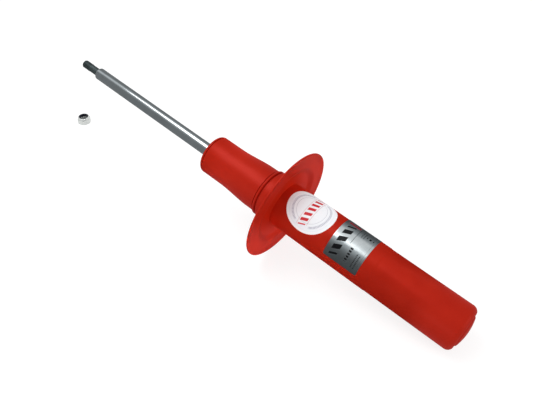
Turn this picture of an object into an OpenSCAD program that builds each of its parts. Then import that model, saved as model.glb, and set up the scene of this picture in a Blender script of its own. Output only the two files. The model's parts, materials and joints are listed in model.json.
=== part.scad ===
// Suspension strut, lying on a bench, with its lock nut standing beside the rod's end.
// Each piece is drawn on the strut's own axis, with 0 at the foot of the domed base
// cap and Z growing towards the rod's end. lay_down() then sets it on the bench.

/* [Outer tube] */
// Diameter of the lower tube, where the knuckle clamps it
tube_d = 51; // [50.4:0.1:51.1]
// Length of the lower tube's clamp zone
clamp_len = 92; // [80:1:100]
// Diameter of the tube above the clamp zone
upper_d = 51.6; // [51.5:0.1:54]
// Length of the soft step between the clamp zone and the tube above it
clamp_step = 2; // [0.5:0.5:4]
// Diameter of the swaged neck
neck_d = 46.2; // [45:0.1:48]
// Wall of the outer tube
tube_wall = 2; // [1.6:0.1:2.4]
// Radius of the lower end's rolled corner
corner_r = 7; // [6:0.1:7.5]
// Radius of the neck's rolled corner
neck_round = 3.8; // [2:0.1:4.5]
// Height of the straight tube between the collar and the swage
upper_len = 17.5; // [12:0.5:30]
// Height of the swage's cone
swage_len = 31; // [25:0.5:40]
// Height of the straight neck
neck_len = 35.5; // [30:0.5:45]
// Width of the neck's rolled lip
top_lip = 3.5; // [2.5:0.1:5]

/* [Base cap] */
// Distance of the cap's domed plug inside the tube's rolled corner
cap_inset = 0.4; // [0.4:0.1:1.5]
// Radius of the cap's shallow crown
crown_r = 62; // [56:1:80]
// Radius of the cap's knuckle
knuckle_r = 3.4; // [3.1:0.1:5]
// Thickness of the cap
cap_wall = 3; // [2:0.1:3.4]

/* [Spring seat] */
// Height of the seat's rim over the tube's lower end
seat_height = 219; // [205:0.1:240]
// Diameter of the seat
seat_d = 131; // [124:0.5:140]
// Thickness of the seat's plate
seat_wall = 2; // [1.6:0.1:3]
// Drop of the rim below the flat plate
rim_depth = 0.5; // [0.3:0.1:2]
// Width of the small flat on the rim where the lying strut rests
rim_flat_width = 12; // [10:14]
// Width of the sloping rim
rim_width = 6; // [4:0.5:8]
// Rise of the seat's raised middle
seat_step = 3; // [1:0.1:4]
// Radius where the raised middle begins to fall
seat_middle_r = 39.5; // [34:0.5:42]
// Width of the slope round the raised middle
seat_slope = 9; // [5:0.5:10]

/* [Collar] */
// Diameter of the collar on the seat's rod side
collar_d = 57.6; // [57:0.2:64]
// Height of the collar
collar_len = 20.4; // [12:0.2:26]
// Radius of the collar's rounded shoulder
collar_round = 3; // [2:0.1:3.2]
// Size of the weld bead on top of the collar
weld_size = 1.2; // [0.8:0.1:2]

/* [Rod] */
// Diameter of the rod
rod_d = 15; // [14:0.5:16]
// Length of bare rod out of the tube when fully extended
rod_reach = 195; // [185:0.5:230]
// Chamfer of the rod's shoulder
rod_chamfer = 1; // [0.5:0.1:1.5]
// Diameter of the stud's plain shank
shank_d = 9.5; // [8.5:0.1:9.6]
// Diameter over the stud's thread
thread_d = 10; // [10:0.5:12]
// Length of the stud from the rod's shoulder
stud_len = 27; // [22:0.5:40]
// Length of the stud's thread, with its chamfer
thread_len = 12; // [10:0.5:18]
// Chamfer at the stud's end
stud_chamfer = 1; // [0.5:0.1:1.5]

/* [Pressure tube] */
// Bore of the pressure tube
bore_d = 32; // [30:0.5:33]
// Wall of the pressure tube
bore_wall = 1.5; // [1.2:0.1:2]

/* [Rod guide and seal] */
// Thickness of the seal retainer
retainer_len = 3; // [2:0.1:4]
// Height of the rod seal
seal_len = 7; // [6.5:0.1:8]
// Height of the guide's flange
guide_len = 18; // [14:0.5:19]
// Height of the guide's spigot in the pressure tube
spigot_len = 8; // [5:0.5:12]
// Wall of the guide bush
bush_wall = 1.45; // [1:0.05:2]
// Height of the guide bush
bush_len = 20; // [14:0.5:21]
// Depth of the guide bush below the guide's top
bush_inset = 4; // [2:0.5:6]
// Radius of the O-ring's section
o_ring_r = 1.2; // [0.9:0.1:1.4]
// Height of the O-ring's groove over the guide's lower face
ring_groove_rise = 8.1; // [5:0.1:10]
// Room along the O-ring in its groove
ring_groove_room = 1; // [0.5:0.1:1.5]
// Thickness of the rod seal's lip
lip_wall = 1.6; // [1.2:0.1:1.8]
// Height of the rod seal's lip, with its garter spring
lip_len = 4.2; // [3.6:0.1:4.6]
// Radius of the garter spring's section
garter_r = 0.8; // [0.6:0.1:0.9]

/* [Rebound stop] */
// Height of the stop ring on the rod
stop_len = 6; // [4:0.5:8]
// Diameter of the stop ring
stop_d = 28; // [24:0.5:29]
// Height of the rebound bumper
bumper_len = 16; // [10:0.5:18]
// Diameter of the rebound bumper
bumper_d = 27; // [22:0.5:28]
// Bare rod between the stop ring and the piston's stop washer
stop_gap = 20; // [10:0.5:40]

/* [Piston and valves] */
// Height of the piston
piston_len = 16.2; // [14:0.2:20]
// Height of the piston band
band_len = 9; // [6:0.5:10]
// Thickness of the piston band
band_wall = 1.7; // [1:0.1:2]
// Diameter of the rod's spigot through the piston
spigot_d = 10; // [8:0.5:10]
// Thickness of a valve disc
disc_wall = 0.4; // [0.2:0.05:0.5]
// Number of valve discs in a stack
disc_count = 4; // [2:1:5]
// Thickness of an intake plate
plate_wall = 0.8; // [0.5:0.1:1.2]
// Room for a spring over an intake plate
plate_room = 4.5; // [3.5:0.1:6]
// Number of ports in each ring
port_count = 8; // [6:1:8]
// Radius of an inner port
inner_port_r = 1; // [0.6:0.1:1.1]
// Radius of an outer port
outer_port_r = 1.2; // [0.8:0.1:1.3]
// Height of the rebound valve's spring
rebound_spring_len = 6; // [5:0.5:9]
// Height of the piston nut's hexagon
piston_nut_len = 7; // [5:0.5:9]
// Height of the foot valve's spigot in the pressure tube
foot_spigot_len = 7; // [5:0.5:10]
// Height of the foot ring that stands on the base cap
foot_ring_len = 3.2; // [2.6:0.1:5]
// Thickness of the foot valve's disc under the pressure tube
foot_disc_len = 3; // [2:0.5:5]

/* [Lock nut] */
// Width of the nut across its flats
nut_af = 17; // [16:0.5:19]
// Height of the nut's hexagon
nut_hex_len = 7.6; // [6:0.1:9]
// Height of the nut's collar over the hexagon
nut_collar_len = 2.6; // [2:0.1:3.5]
// Radius of the hole inside the nut's thread
nut_hole_r = 4.25; // [4:0.05:4.3]
// Thickness of the nylon insert outside the thread
insert_wall = 1.9; // [1.6:0.1:2]
// Depth of thread that the nylon insert fills
insert_bite = 0.4; // [0.1:0.05:0.5]
// Height of the nylon insert
insert_len = 2.7; // [2:0.1:2.8]
// Width of the nut's crimped lip over the insert
crimp_lip = 0.8; // [0.4:0.1:1.2]
// Thickness of the nut's crimped lip
crimp_wall = 0.5; // [0.3:0.1:0.7]
// Distance along the bench from the stud's end to the nut's middle
nut_ahead = 64.2; // [30:0.1:80]
// Distance of the nut's middle behind the strut's axis
nut_aside = 20; // [0:0.1:40]
// Turn of the nut about its own axis, in degrees
nut_turn = 16; // [0:1:59]

/* [Labels] */
// Radius of the round label
round_label_r = 27; // [20:0.5:27]
// Distance from the seat's rim to the round label's middle
round_label_drop = 32; // [31:0.5:36]
// Turn of the round label's middle from the top of the tube, in degrees
round_label_turn = -13; // [-90:1:90]
// Width of the rating label along the tube
rating_label_len = 40.3; // [30:0.1:44]
// Space between the two labels along the tube
rating_label_gap = 7; // [3:0.5:12]
// Angle of tube that the rating label covers, in degrees
rating_label_arc = 140; // [90:1:170]
// Turn of the rating label's middle from the top of the tube, in degrees
rating_label_turn = -14.5; // [-90:0.5:90]
// Thickness of a label
label_wall = 0.15; // [0.1:0.01:0.2]

/* [Hidden] */
$fn = 96;

// Clearances
fit = 0.02; // between pieces that are pressed or stacked together
run = 0.03; // between a bearing face and what runs in it
slip = 0.05; // between a soft seal or a ring and what runs in it
loose = 0.3; // between pieces that only pass each other
seal_room = 0.8; // between the retainer and the rod

// Radii of the outer tube
tube_r = tube_d / 2;
upper_r = upper_d / 2;
neck_r = neck_d / 2;
tube_in = tube_r - tube_wall;
neck_in = neck_r - tube_wall;
corner_track_r = tube_r - corner_r;
corner_in = corner_r - tube_wall;

// Levels of the outer tube and the base cap
cap_r = corner_track_r - cap_inset;
hole_gap = 0.2;
end_hole_r = cap_r + hole_gap;
crown_angle = asin((cap_r - knuckle_r) / (crown_r - knuckle_r));
knuckle_z = crown_r - (crown_r - knuckle_r) * cos(crown_angle);
cap_flange_z = knuckle_z + fit;
tube_end = cap_flange_z - tube_wall;
clamp_lo = tube_end + corner_r;
clamp_hi = clamp_lo + clamp_len;
cap_top = cap_flange_z + cap_wall;

// Levels and radii of the spring seat and the collar
seat_r = seat_d / 2;
rim_edge = 0.35 * seat_wall;
rim_flat = seat_r - sqrt(seat_r ^ 2 - (rim_flat_width / 2) ^ 2);
rim_in = seat_r - rim_width;
rim_z = tube_end + seat_height;
plate_z = rim_z + rim_depth;
middle_z = plate_z + seat_step;
seat_top = plate_z + seat_wall;
middle_top = middle_z + seat_wall;
collar_r = collar_d / 2;
collar_top = middle_top + fit + collar_len;
swage_lo = collar_top + upper_len;
swage_hi = swage_lo + swage_len;
tube_top = swage_hi + neck_len;
top_lip_r = neck_r - neck_round - top_lip;

// Levels of the seal and the guide, from the tube's top down
lip_z = tube_top - tube_wall;
retainer_z = lip_z - fit - retainer_len;
seal_z = retainer_z - fit - seal_len;
guide_top = seal_z - fit;
guide_z = guide_top - guide_len;
spigot_z = guide_z - spigot_len;
rod_r = rod_d / 2;
bush_r = rod_r + run + bush_wall;
bush_z = guide_top - bush_inset - bush_len;
ring_groove_z = guide_z + ring_groove_rise;
ring_groove_len = 2 * o_ring_r + ring_groove_room;
ring_path_r = neck_in - fit - slip - o_ring_r;
lip_r = rod_r + slip;
garter_path_r = lip_r + lip_wall + garter_r + fit;

// Levels of the foot valve, from the base cap up
bore_r = bore_d / 2;
sleeve_r = bore_r + bore_wall;
foot_z = cap_top + fit;
foot_disc_z = foot_z + foot_ring_len;
sleeve_z = foot_disc_z + foot_disc_len;
foot_top = sleeve_z + foot_spigot_len;
sleeve_top = guide_z - fit;
bolt_r = 3;
bolt_head_r = 5.5;
bolt_head_len = 2.4;
bolt_flange_r = 9;
bolt_top = foot_top + plate_room + plate_wall + bolt_head_len;
foot_ring_gap = 1;
foot_ring_r = tube_in - foot_ring_gap;

// Rings of ports
inner_port_path = 7.6;
outer_port_path = 11.4;
disc_margin = 0.9;
plate_margin = 0.7;
disc_r = inner_port_path + inner_port_r + disc_margin;
plate_r = outer_port_path + outer_port_r + plate_margin;
plate_in = 6.4;
hub_r = plate_in - loose;

// Levels of the rod's pieces, from the guide down, with the rod fully extended
spigot_r = spigot_d / 2;
bumper_z = spigot_z - slip - bumper_len;
stop_z = bumper_z - fit - stop_len;
stop_groove = 0.7;
rod_step = stop_z - stop_gap;
stop_washer_len = 1.5;
stop_washer_r = 11.3;
stop_washer_z = rod_step - fit - stop_washer_len;
piston_top = stop_washer_z - plate_room - plate_wall;
stop_hub_z = piston_top + fit;
piston_z = piston_top - piston_len;
piston_gap = 0.25;
piston_r = bore_r - piston_gap;
band_z = piston_z + (piston_len - band_len) / 2;
band_r = bore_r - run;
stack_len = disc_count * (disc_wall + fit);
discs_z = piston_z - stack_len;
spring_z = discs_z - rebound_spring_len;
nut_flange_len = 2;
nut_flange_z = spring_z - nut_flange_len;
nut_z = nut_flange_z - piston_nut_len;
rod_tail = 2;
rod_foot = nut_z - rod_tail;

// Levels of the rod's outer end
shoulder_z = tube_top + rod_reach;
stud_end = shoulder_z + stud_len;
thread_z = stud_end - thread_len;
shank_r = shank_d / 2;
thread_r = thread_d / 2;

// Labels
label_in = upper_r + fit;
label_out = label_in + label_wall;
round_label_z = rim_z - round_label_drop;
rating_label_z = round_label_z - round_label_r - rating_label_gap - rating_label_len;

// How the strut lies: the flat on its seat's rim and its lower corner both touch the bench
rim_track_r = seat_r - rim_edge;
rim_track_z = rim_z + rim_edge;
track_r = rim_track_r - corner_track_r;
track_z = rim_track_z - clamp_lo;
lie = atan(track_r / track_z)
    + asin((rim_edge - rim_flat - corner_r) / norm([track_r, track_z]));
foot_height = corner_r + corner_track_r * cos(lie) - clamp_lo * sin(lie);

// The nut's place, and the shift that centres the whole along X
nut_corner_r = nut_af / 2 / cos(30);
nut_half_x = max([for (k = [0:5]) nut_corner_r * cos(nut_turn + 60 * k)]);
nut_x = -stud_end * cos(lie) - nut_ahead;
insert_r = thread_r + insert_wall;
insert_hi = nut_hex_len + nut_collar_len - crimp_wall;
insert_lo = insert_hi - insert_len;
foot_x = -(nut_x - nut_half_x + crown_r * (1 - cos(lie))) / 2;

// Points of an arc about (r, z), from angle a to angle b
function arc(r, z, radius, a, b, steps = 10) =
    [for (i = [0:steps]) let (t = a + (b - a) * i / steps) [r + radius * cos(t), z + radius * sin(t)]];

// Sets a piece drawn on the strut's axis down on the bench
module lay_down() {
    translate([foot_x, 0, foot_height]) rotate([0, lie - 90, 0]) children();
}

// Ring between two radii, from one level to another
module ring(inner, outer, lo, hi) {
    rotate_extrude() translate([inner, lo]) square([outer - inner, hi - lo]);
}

// Turned piece from its half section
module turned(points) {
    rotate_extrude() polygon(points);
}

// Holes on a circle, from one level to another
module port_ring(path, radius, lo, hi, turn = 0) {
    for (i = [0:port_count - 1])
        rotate([0, 0, turn + 360 * i / port_count])
            translate([path, 0, lo])
                cylinder(h = hi - lo, r = radius, $fn = 24);
}

// Coil spring that runs from radius a at level lo to radius b at level hi
module coil(a, b, lo, hi, wire, turns) {
    sides = 6;
    steps = round(turns * 16);
    rise = hi - lo - 2 * wire;
    points = [for (i = [0:steps], j = [0:sides - 1])
        let (u = i / steps, q = 360 * turns * u, s = 360 * j / sides, r = a + (b - a) * u + wire * cos(s))
        [r * cos(q), r * sin(q), lo + wire + rise * u + wire * sin(s)]];
    walls = [for (i = [0:steps - 1], j = [0:sides - 1])
        let (k = (j + 1) % sides, p = i * sides, n = p + sides)
        each [[p + j, p + k, n + k], [p + j, n + k, n + j]]];
    first = [for (j = [1:sides - 2]) [0, j + 1, j]];
    last = [for (j = [1:sides - 2]) [steps * sides, steps * sides + j, steps * sides + j + 1]];
    polyhedron(points, concat(walls, first, last));
}

// Outer tube

module reservoir_tube() {
    outside = concat(
        [[end_hole_r, tube_end]],
        arc(corner_track_r, clamp_lo, corner_r, -90, 0),
        [[tube_r, clamp_hi], [upper_r, clamp_hi + clamp_step]],
        [[upper_r, swage_lo], [neck_r, swage_hi]],
        arc(neck_r - neck_round, tube_top - neck_round, neck_round, 0, 90),
        [[top_lip_r, tube_top]]
    );
    inside = concat(
        [[top_lip_r, lip_z], [neck_in, lip_z], [neck_in, swage_hi], [tube_in, swage_lo]],
        arc(corner_track_r, clamp_lo, corner_in, 0, -90),
        [[end_hole_r, cap_flange_z]]
    );
    color("#b2221a") lay_down() turned(concat(outside, inside));
}

module base_cap() {
    inner_knuckle = knuckle_r - cap_wall;
    inner_crown = crown_r - cap_wall;
    flange_bend = corner_in - 2 * fit;
    flange_end = asin((cap_top - clamp_lo) / flange_bend);
    outside = concat(
        arc(0, crown_r, crown_r, -90, -90 + crown_angle),
        arc(cap_r - knuckle_r, knuckle_z, knuckle_r, -90 + crown_angle, 0),
        [[cap_r, cap_flange_z], [corner_track_r, cap_flange_z]],
        arc(corner_track_r, clamp_lo, flange_bend, -80, flange_end, 6)
    );
    inside = concat(
        [[cap_r - cap_wall, cap_top]],
        arc(cap_r - knuckle_r, knuckle_z, inner_knuckle, 0, -90 + crown_angle),
        arc(0, crown_r, inner_crown, -90 + crown_angle, -90)
    );
    color("#b2221a") lay_down() turned(concat(outside, inside));
}

// Spring seat

module spring_seat() {
    hole_r = upper_r + fit;
    slope = [for (i = [0:8]) let (t = i / 8)
        [seat_middle_r + seat_slope * t, middle_z - seat_step * t * t * (3 - 2 * t)]];
    under = concat([[hole_r, middle_z]], slope, [[rim_in, plate_z]]);
    edge = concat(
        arc(seat_r - rim_edge, rim_z + rim_edge, rim_edge, -90, 0),
        arc(seat_r - rim_edge, rim_z + seat_wall - rim_edge, rim_edge, 0, 90)
    );
    above = [for (i = [len(under) - 1:-1:0]) under[i] + [0, seat_wall]];
    color("#b2221a") difference() {
        lay_down() turned(concat(under, edge, above));
        translate([0, -rim_flat_width, -corner_r]) cube([2 * seat_r, 2 * rim_flat_width, corner_r]);
    }
}

module seat_collar() {
    hole_r = upper_r + fit;
    centre_r = collar_r - collar_round;
    sweep = acos(max(0, hole_r - centre_r) / collar_round);
    centre_z = collar_top - collar_round * sin(sweep);
    outside = concat(
        [[hole_r, middle_top + fit], [collar_r, middle_top + fit]],
        arc(centre_r, centre_z, collar_round, 0, sweep),
        [[hole_r, collar_top]]
    );
    color("#b2221a") lay_down() turned(outside);
}

module collar_weld() {
    hole_r = upper_r + fit;
    bead = concat(
        [[hole_r, collar_top + fit]],
        arc(hole_r, collar_top + fit, weld_size, 0, 90, 6)
    );
    color("#b2221a") lay_down() turned(bead);
}

// Pressure tube, guide and seal

module pressure_tube() {
    color("#8f9396") lay_down() ring(bore_r, sleeve_r, sleeve_z, sleeve_top);
}

module rod_guide() {
    flange_r = neck_in - fit;
    groove_r = ring_path_r - o_ring_r - slip;
    color("#a9adb0") lay_down() difference() {
        union() {
            ring(bush_r + fit, flange_r, guide_z, guide_top);
            ring(bush_r + fit, bore_r - fit, spigot_z, guide_z);
        }
        ring(groove_r, flange_r + 1, ring_groove_z, ring_groove_z + ring_groove_len);
    }
}

module guide_bush() {
    color("#8a6f45") lay_down() ring(rod_r + run, bush_r, bush_z, bush_z + bush_len);
}

module guide_o_ring() {
    middle = ring_groove_z + ring_groove_len / 2;
    color("#1c1c1e") lay_down()
        rotate_extrude() translate([ring_path_r, middle]) circle(r = o_ring_r, $fn = 32);
}

module rod_seal() {
    edge = 0.4;
    relief = 1;
    garter_gap = 0.9;
    top = seal_z + seal_len;
    leg_r = lip_r + lip_wall;
    block_r = garter_path_r + garter_r + garter_gap;
    section = [
        [block_r, seal_z], [neck_in - fit, seal_z], [neck_in - fit, top],
        [lip_r + 2 * edge, top], [lip_r, top - relief + edge],
        [lip_r, top - relief], [lip_r + relief, top - relief - 2 * edge],
        [lip_r + relief, seal_z + lip_len], [lip_r, seal_z + lip_wall], [lip_r, seal_z + relief],
        [lip_r + relief - edge, seal_z + edge], [leg_r, seal_z + edge],
        [leg_r, seal_z + lip_len], [block_r, seal_z + lip_len]
    ];
    color("#26262a") lay_down() turned(section);
}

module seal_spring() {
    rise = 1.9;
    color("#9aa0a4") lay_down()
        rotate_extrude() translate([garter_path_r, seal_z + rise]) circle(r = garter_r, $fn = 32);
}

module seal_retainer() {
    color("#6d7072") lay_down()
        ring(rod_r + seal_room, neck_in - fit, retainer_z, retainer_z + retainer_len);
}

// Foot valve

module foot_valve_body() {
    slot_w = 5;
    slots = 6;
    foot_ring_in = sleeve_r + 0.5;
    color("#a9adb0") lay_down() difference() {
        union() {
            ring(foot_ring_in, foot_ring_r, foot_z, foot_disc_z);
            ring(bolt_r + fit, foot_ring_r, foot_disc_z, sleeve_z);
            ring(bolt_r + fit, bore_r - fit, sleeve_z, foot_top);
            ring(bolt_r + fit, hub_r, foot_top - 1, bolt_top - bolt_head_len - fit);
        }
        for (i = [0:slots - 1])
            rotate([0, 0, 360 * i / slots]) translate([sleeve_r, -slot_w / 2, foot_z - 1])
                cube([foot_ring_r, slot_w, foot_ring_len + 1]);
        port_ring(inner_port_path, inner_port_r, foot_disc_z - 1, foot_top + 1);
        port_ring(outer_port_path, outer_port_r, foot_disc_z - 1, foot_top + 1, 180 / port_count);
    }
}

module foot_valve_bolt() {
    head_z = foot_disc_z - fit - stack_len;
    color("#6d7072") lay_down() union() {
        translate([0, 0, head_z - bolt_head_len]) cylinder(h = bolt_head_len, r = bolt_head_r);
        translate([0, 0, head_z - 0.5]) cylinder(h = bolt_top - head_z, r = bolt_r);
        translate([0, 0, bolt_top - bolt_head_len]) cylinder(h = bolt_head_len, r = bolt_flange_r);
    }
}

// Stack of thin valve discs that starts at a level and grows up
module disc_stack(hole, outer, level) {
    for (i = [0:disc_count - 1]) {
        lo = level + i * (disc_wall + fit);
        ring(hole, outer, lo, lo + disc_wall);
    }
}

module foot_valve_discs() {
    color("#c2c6c8") lay_down() disc_stack(bolt_r + fit, disc_r, foot_disc_z - stack_len);
}

// Thin plate that lifts off the outer ports and leaves the inner ones open
module check_plate(level) {
    difference() {
        ring(plate_in, plate_r, level, level + plate_wall);
        port_ring(inner_port_path + loose, inner_port_r, level - 1, level + plate_wall + 1);
    }
}

// Light conical spring that presses a check plate down
module plate_spring(lo, hi) {
    wire = 0.35;
    top_path = hub_r + 1.5;
    turns = 2.5;
    coil(outer_port_path, top_path, lo + fit, hi - fit, wire, turns);
}

module foot_intake_plate() {
    color("#c2c6c8") lay_down() check_plate(foot_top + fit);
}

module foot_intake_spring() {
    level = foot_top + fit + plate_wall;
    color("#9aa0a4") lay_down() plate_spring(level, bolt_top - bolt_head_len);
}

// Rod and piston

module piston_rod() {
    groove_r = rod_r - stop_groove;
    tail_edge = 1;
    thread_run = 0.5;
    section = [
        [0, rod_foot], [spigot_r - tail_edge, rod_foot], [spigot_r, rod_foot + tail_edge],
        [spigot_r, rod_step], [rod_r, rod_step], [rod_r, stop_z], [groove_r, stop_z],
        [groove_r, stop_z + stop_len], [rod_r, stop_z + stop_len],
        [rod_r, shoulder_z - rod_chamfer], [rod_r - rod_chamfer, shoulder_z],
        [shank_r, shoulder_z], [shank_r, thread_z - thread_run], [thread_r, thread_z],
        [thread_r, stud_end - stud_chamfer], [thread_r - stud_chamfer, stud_end], [0, stud_end]
    ];
    color("#9aa1a3") lay_down() turned(section);
}

module rebound_stop() {
    hole_r = rod_r - stop_groove + fit;
    color("#6d7072") lay_down() ring(hole_r, stop_d / 2, stop_z + fit, stop_z + stop_len - fit);
}

module rebound_bumper() {
    edge = 2;
    outer = bumper_d / 2;
    top = bumper_z + bumper_len;
    section = [
        [lip_r, bumper_z], [outer - edge, bumper_z], [outer, bumper_z + edge],
        [outer, top - edge], [outer - edge, top], [lip_r, top]
    ];
    color("#3b3a38") lay_down() turned(section);
}

module piston() {
    groove_r = band_r - band_wall - slip;
    color("#85898c") lay_down() difference() {
        ring(spigot_r + fit, piston_r, piston_z, piston_top);
        ring(groove_r, piston_r + 1, band_z - slip, band_z + band_len + slip);
        port_ring(inner_port_path, inner_port_r, piston_z - 1, piston_top + 1);
        port_ring(outer_port_path, outer_port_r, piston_z - 1, piston_top + 1, 180 / port_count);
    }
}

module piston_band() {
    color("#4a4038") lay_down() ring(band_r - band_wall, band_r, band_z, band_z + band_len);
}

module rebound_discs() {
    color("#c2c6c8") lay_down() disc_stack(spigot_r + fit, disc_r, discs_z);
}

module rebound_spring() {
    wire = 0.7;
    turns = 3.5;
    path = hub_r + wire + loose;
    color("#9aa0a4") lay_down() coil(path, path, spring_z, discs_z - fit, wire, turns);
}

module piston_nut() {
    across = 15;
    color("#6d7072") lay_down() difference() {
        union() {
            translate([0, 0, nut_z]) cylinder(h = piston_nut_len, r = across / 2 / cos(30), $fn = 6);
            translate([0, 0, nut_flange_z]) cylinder(h = nut_flange_len, r = disc_r);
            translate([0, 0, spring_z - 1]) cylinder(h = rebound_spring_len + 1 - fit, r = hub_r);
        }
        translate([0, 0, nut_z - 1]) cylinder(h = discs_z - nut_z + 2, r = spigot_r + fit);
    }
}

module intake_plate() {
    color("#c2c6c8") lay_down() check_plate(piston_top + fit);
}

module intake_spring() {
    level = piston_top + fit + plate_wall;
    color("#9aa0a4") lay_down() plate_spring(level, stop_washer_z);
}

module intake_stop() {
    color("#6d7072") lay_down() union() {
        ring(spigot_r + fit, hub_r, stop_hub_z, stop_washer_z + stop_washer_len);
        ring(spigot_r + fit, stop_washer_r, stop_washer_z, stop_washer_z + stop_washer_len);
    }
}

// Labels, wrapped on the tube between the clamp zone and the seat

// Outline of the round label as seen along its middle, wrapped on the tube
function label_edge(steps = 144) =
    [for (i = [0:steps - 1])
        let (t = 360 * i / steps, wrap = round_label_r * sin(t) / upper_r * 180 / PI)
        [round_label_r * cos(t), upper_r * sin(wrap)]];

module round_label() {
    color("#e4e3ea") lay_down() rotate([0, 0, round_label_turn]) intersection() {
        ring(label_in, label_out, round_label_z - round_label_r, round_label_z + round_label_r);
        translate([0, 0, round_label_z]) rotate([0, 90, 0])
            linear_extrude(height = upper_r + 1) polygon(label_edge());
    }
}

module rating_label() {
    color("#b9bfc1") lay_down() rotate([0, 0, rating_label_turn - rating_label_arc / 2])
        rotate_extrude(angle = rating_label_arc)
            translate([label_in, rating_label_z]) square([label_wall, rating_label_len]);
}

// Lock nut, standing on the bench

module lock_nut() {
    nut_top = nut_hex_len + nut_collar_len;
    flat_r = nut_af / 2;
    corner_out_r = nut_corner_r + fit;
    chamfer = (nut_corner_r - flat_r) * tan(30);
    collar_foot_r = flat_r - 0.4;
    crimp_z = nut_hex_len + 0.6;
    crimp_r = flat_r - 1.4;
    mouth_r = thread_r + loose;
    mouth_len = 0.8;
    body = [
        [0, 0], [flat_r, 0], [corner_out_r, chamfer], [corner_out_r, nut_hex_len - chamfer],
        [flat_r, nut_hex_len], [flat_r, nut_top], [0, nut_top]
    ];
    collar = [
        [0, nut_hex_len - 1], [collar_foot_r, nut_hex_len - 1], [collar_foot_r, crimp_z],
        [crimp_r, nut_top], [0, nut_top]
    ];
    color("#d5d8da") translate([nut_x + foot_x, nut_aside, 0]) rotate([0, 0, nut_turn]) difference() {
        intersection() {
            union() {
                cylinder(h = nut_hex_len, r = nut_corner_r, $fn = 6);
                turned(collar);
            }
            turned(body);
        }
        translate([0, 0, -1]) cylinder(h = nut_top + 2, r = nut_hole_r);
        translate([0, 0, -1]) cylinder(h = 1 + mouth_len, r = mouth_r);
        translate([0, 0, insert_lo]) cylinder(h = insert_hi - insert_lo, r = insert_r);
        translate([0, 0, insert_lo]) cylinder(h = nut_top, r = insert_r - crimp_lip);
    }
}

module nut_insert() {
    color("#10131f") translate([nut_x + foot_x, nut_aside, 0])
        ring(thread_r - insert_bite, insert_r - fit, insert_lo + fit, insert_hi - fit);
}

reservoir_tube();
base_cap();
spring_seat();
seat_collar();
collar_weld();
pressure_tube();
rod_guide();
guide_bush();
guide_o_ring();
rod_seal();
seal_spring();
seal_retainer();
foot_valve_body();
foot_valve_bolt();
foot_valve_discs();
foot_intake_plate();
foot_intake_spring();
round_label();
rating_label();
piston_rod();
rebound_stop();
rebound_bumper();
piston();
piston_band();
rebound_discs();
rebound_spring();
piston_nut();
intake_plate();
intake_spring();
intake_stop();
lock_nut();
nut_insert();
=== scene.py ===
"""Looks of a suspension strut and its lock nut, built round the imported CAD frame.

Lengths are millimetres on the strut's own axis unless a comment says otherwise: Z is 0 at
the foot of the domed base cap and grows towards the rod's end, X points away from the bench
and Y to the back. LAY sets them down in the shared frame, in metres.
"""

import json
import math

import bpy
import numpy as np
from mathutils import Euler, Matrix, Vector


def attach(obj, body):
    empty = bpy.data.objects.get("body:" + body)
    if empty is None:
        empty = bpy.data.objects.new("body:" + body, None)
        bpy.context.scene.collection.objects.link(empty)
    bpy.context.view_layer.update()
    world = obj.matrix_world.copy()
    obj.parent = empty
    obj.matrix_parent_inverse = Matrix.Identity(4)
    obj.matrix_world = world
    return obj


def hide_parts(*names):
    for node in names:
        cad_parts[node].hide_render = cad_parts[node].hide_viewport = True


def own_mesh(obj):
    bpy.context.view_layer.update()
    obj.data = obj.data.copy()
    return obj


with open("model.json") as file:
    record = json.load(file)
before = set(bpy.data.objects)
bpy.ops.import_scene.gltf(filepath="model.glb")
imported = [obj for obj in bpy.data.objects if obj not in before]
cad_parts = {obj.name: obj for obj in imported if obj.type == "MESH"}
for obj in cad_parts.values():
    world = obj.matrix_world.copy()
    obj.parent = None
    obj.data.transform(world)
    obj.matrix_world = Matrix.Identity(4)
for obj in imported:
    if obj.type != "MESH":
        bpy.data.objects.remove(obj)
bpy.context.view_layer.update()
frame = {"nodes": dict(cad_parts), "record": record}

MM = 0.001
NODES = frame["nodes"]
MOUNTS = {m["name"]: m for m in frame["record"]["mounts"]}
JOINTS = {j["name"]: j for j in frame["record"]["behaviour"]["joints"]}
SLOTS = {s["node"]: s["material_slot"] for s in frame["record"]["subparts"]}


# ---------------------------------------------------------------- the frame's measures

def corners(node):
    """The vertices of a CAD node in the shared frame, in metres."""
    return np.array([v.co for v in NODES[node].data.vertices])


# The strut's axis from its foot to its rod, the way from the bench that is square to it, and
# the foot of the base cap
AXIS = -Vector(MOUNTS["lower_tube"]["axis"])
UP = Vector((0, 1, 0)).cross(AXIS)
TUBE_PLACE = Vector(MOUNTS["lower_tube"]["pos_m"])
FOOT = TUBE_PLACE + AXIS * float((corners("base_cap") @ np.array(AXIS)).min() - TUBE_PLACE.dot(AXIS))
TO_SHARED = Matrix((UP, (0, 1, 0), AXIS)).transposed()
LAY = Matrix.Translation(FOOT) @ TO_SHARED.to_4x4() @ Matrix.Scale(MM, 4)


def own_corners(node):
    """The vertices of a CAD node on the strut's own axis, in mm."""
    place = np.array(LAY.inverted())
    return corners(node) @ place[:3, :3].T + place[:3, 3]


def reach(node):
    """Largest radius, lowest level and highest level of a CAD node on the strut's axis."""
    own = own_corners(node)
    return float(np.hypot(own[:, 0], own[:, 1]).max()), float(own[:, 2].min()), float(own[:, 2].max())


def sweep(node):
    """First and last angle of a CAD node round the strut's axis, in radians."""
    own = own_corners(node)
    angle = np.arctan2(own[:, 1], own[:, 0])
    return float(angle.min()), float(angle.max())


def span(mount):
    """First and last level of a mount on the strut's axis, in mm."""
    middle = (Vector(MOUNTS[mount]["pos_m"]) - FOOT).dot(AXIS) / MM
    half = MOUNTS[mount]["dims"].get("length_mm", 0) / 2
    return middle - half, middle + half


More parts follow.
